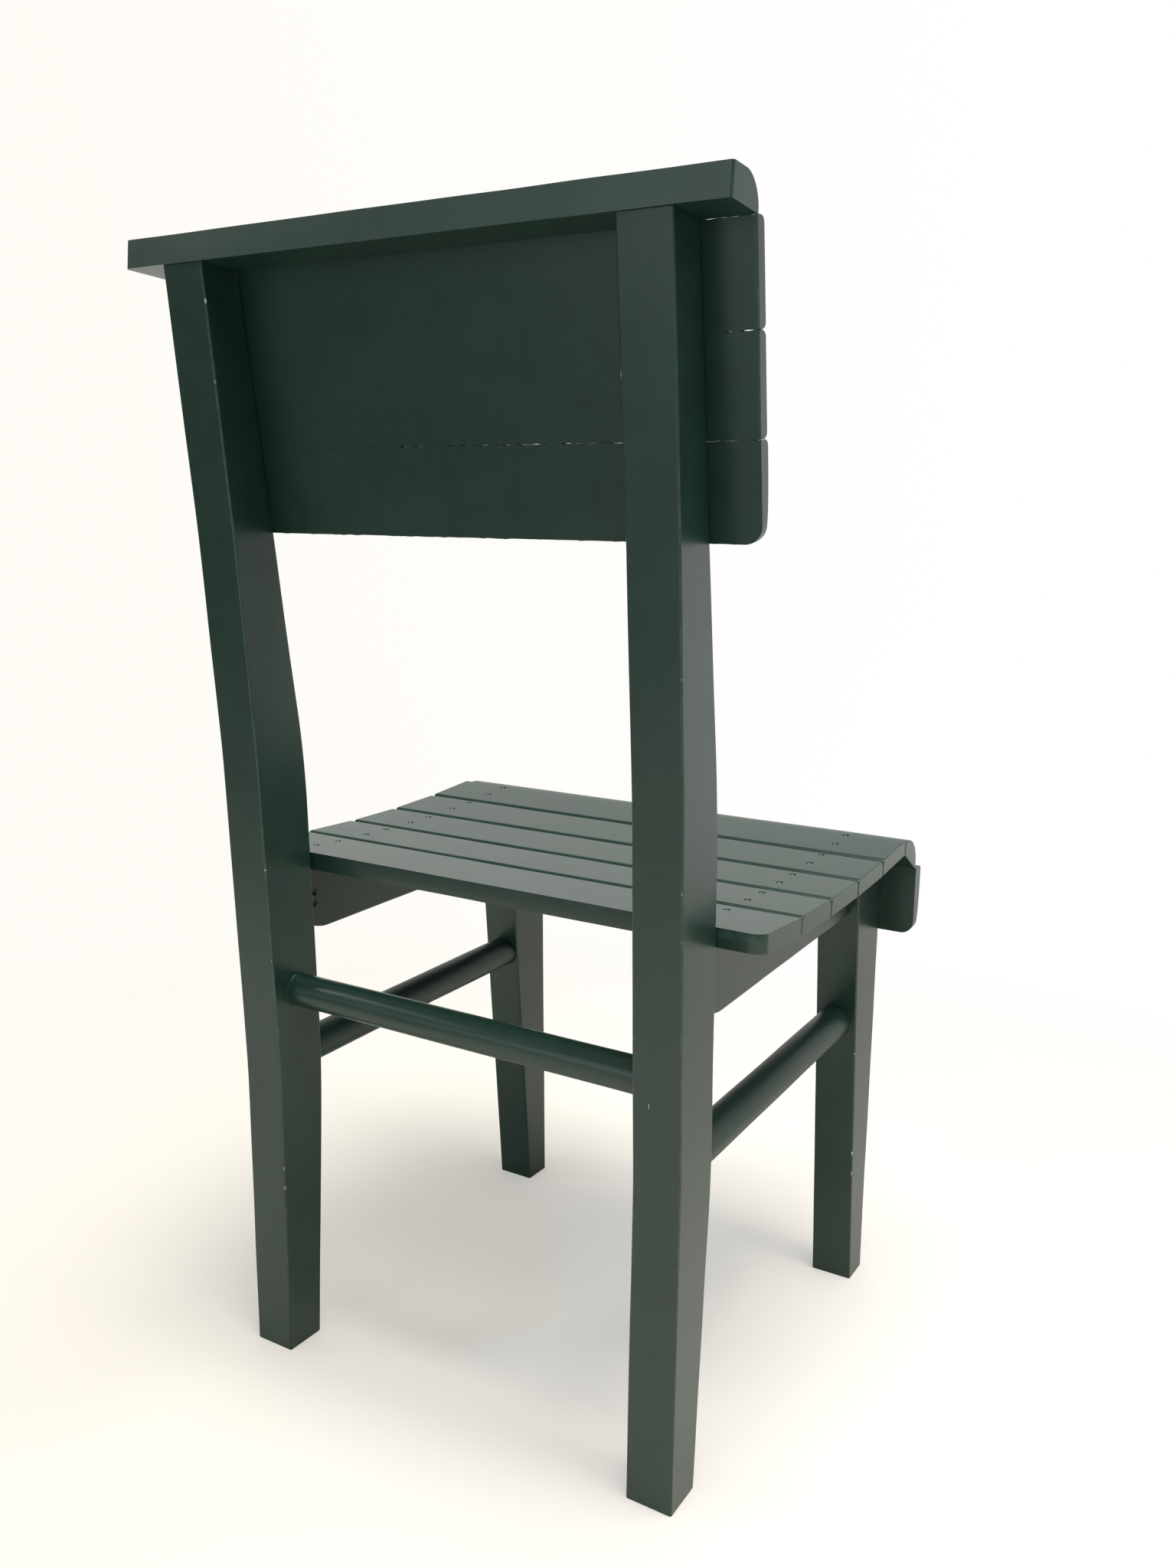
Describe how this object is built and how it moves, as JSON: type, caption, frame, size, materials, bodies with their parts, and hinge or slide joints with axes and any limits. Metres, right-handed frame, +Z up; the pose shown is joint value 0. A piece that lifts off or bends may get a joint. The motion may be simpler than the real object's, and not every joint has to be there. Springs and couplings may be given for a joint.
{
  "type": "slatted wooden side chair",
  "caption": "Painted wooden side chair with a dished slatted seat, a slatted leaning back, a thick crest rail and round stretchers.",
  "frame": {"origin": "on the floor at the middle of the chair's footprint", "axes": "+Z up, the seat faces -Y, +X is to the sitter's left"},
  "size_m": [0.494, 0.5174, 0.928],
  "materials": {
    "green_paint": "satin paint",
    "painted_nail": "painted over",
    "bare_beech": "bare"
  },
  "bodies": {
    "root": {"rear_post_left": "green_paint", "rear_post_right": "green_paint", "front_leg_left": "green_paint", "front_leg_right": "green_paint", "side_rail_left": "green_paint", "side_rail_right": "green_paint", "front_apron": "green_paint", "seat_nosing": "green_paint", "crest_rail": "green_paint", "rear_stretcher": "green_paint", "side_stretcher_left": "green_paint", "side_stretcher_right": "green_paint", "seat_slat_one": "green_paint", "seat_slat_two": "green_paint", "seat_slat_three": "green_paint", "seat_slat_four": "green_paint", "seat_slat_five": "green_paint", "back_slat_bottom": "green_paint", "back_slat_middle": "green_paint", "back_slat_top": "green_paint", "seat_nails_one": "painted_nail", "seat_nails_two": "painted_nail", "seat_nails_three": "painted_nail", "seat_nails_four": "painted_nail", "seat_nails_five": "painted_nail", "back_nails_bottom": "painted_nail", "back_nails_middle": "painted_nail", "back_nails_top": "painted_nail", "nosing_nails": "painted_nail", "apron_nails": "painted_nail", "toe_nails": "painted_nail", "crest_dowels": "bare_beech"}
  },
  "joints": []
}
